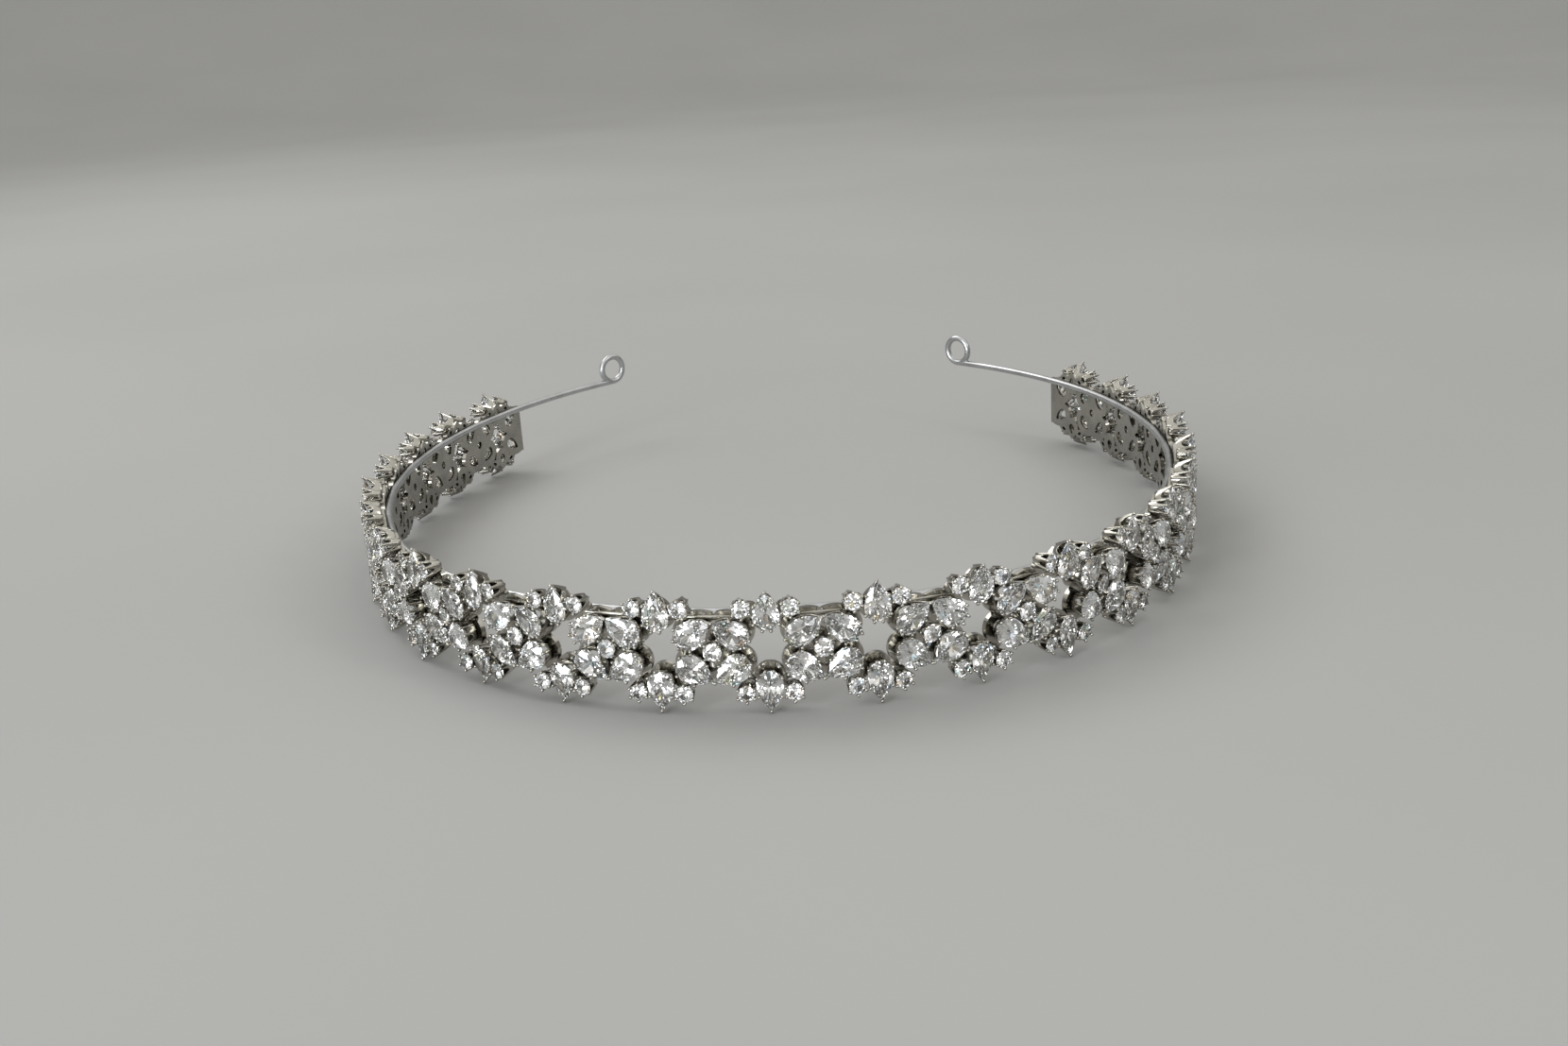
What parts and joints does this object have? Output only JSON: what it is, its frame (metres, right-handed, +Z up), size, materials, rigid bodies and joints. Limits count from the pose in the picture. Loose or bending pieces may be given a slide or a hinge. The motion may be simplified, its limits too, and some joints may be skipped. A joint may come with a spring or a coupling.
{
  "type": "bridal tiara",
  "caption": "Horseshoe tiara band: a springy wire headband with a loop at each end, carrying a lattice of prong-set pear and round stones.",
  "frame": {"origin": "bottom centre of the bounding box, on the surface that the lower prongs stand on", "axes": "+Z up, along the way the head passes through the band; -Y towards the front of the band and +Y towards its open end; X across it, from end loop to end loop"},
  "size_m": [0.154, 0.161, 0.0206],
  "materials": {
    "band_wire": "bright rhodium-coloured plating, smooth drawn wire",
    "settings": "bright rhodium-coloured plating on castings",
    "stones": "clear faceted stones"
  },
  "bodies": {
    "root": {"headband_wire_front": "band_wire", "headband_wire_left": "band_wire", "headband_wire_right": "band_wire", "left_end_loop": "band_wire", "right_end_loop": "band_wire", "gallery_wire_front": "settings", "gallery_wire_left": "settings", "gallery_wire_right": "settings", "top_trio_setting_middle": "settings", "bottom_trio_setting_middle": "settings", "top_trio_settings_01": "settings", "top_trio_settings_02": "settings", "top_trio_settings_03": "settings", "top_trio_settings_04": "settings", "top_trio_settings_05": "settings", "top_trio_settings_06": "settings", "top_trio_settings_07": "settings", "top_trio_settings_08": "settings", "top_trio_settings_09": "settings", "top_trio_settings_10": "settings", "top_trio_settings_11": "settings", "bottom_trio_settings_01": "settings", "bottom_trio_settings_02": "settings", "bottom_trio_settings_03": "settings", "bottom_trio_settings_04": "settings", "bottom_trio_settings_05": "settings", "bottom_trio_settings_06": "settings", "bottom_trio_settings_07": "settings", "bottom_trio_settings_08": "settings", "bottom_trio_settings_09": "settings", "bottom_trio_settings_10": "settings", "bottom_trio_settings_11": "settings", "diamond_settings_01": "settings", "diamond_settings_02": "settings", "diamond_settings_03": "settings", "diamond_settings_04": "settings", "diamond_settings_05": "settings", "diamond_settings_06": "settings", "diamond_settings_07": "settings", "diamond_settings_08": "settings", "diamond_settings_09": "settings", "diamond_settings_10": "settings", "diamond_settings_11": "settings", "end_settings": "settings", "top_trio_pear_stones": "stones", "top_trio_round_stones": "stones", "diamond_upper_pear_stones": "stones", "diamond_centre_stones": "stones", "diamond_lower_pear_stones": "stones", "bottom_trio_pear_stones": "stones", "bottom_trio_round_stones": "stones"}
  },
  "joints": []
}
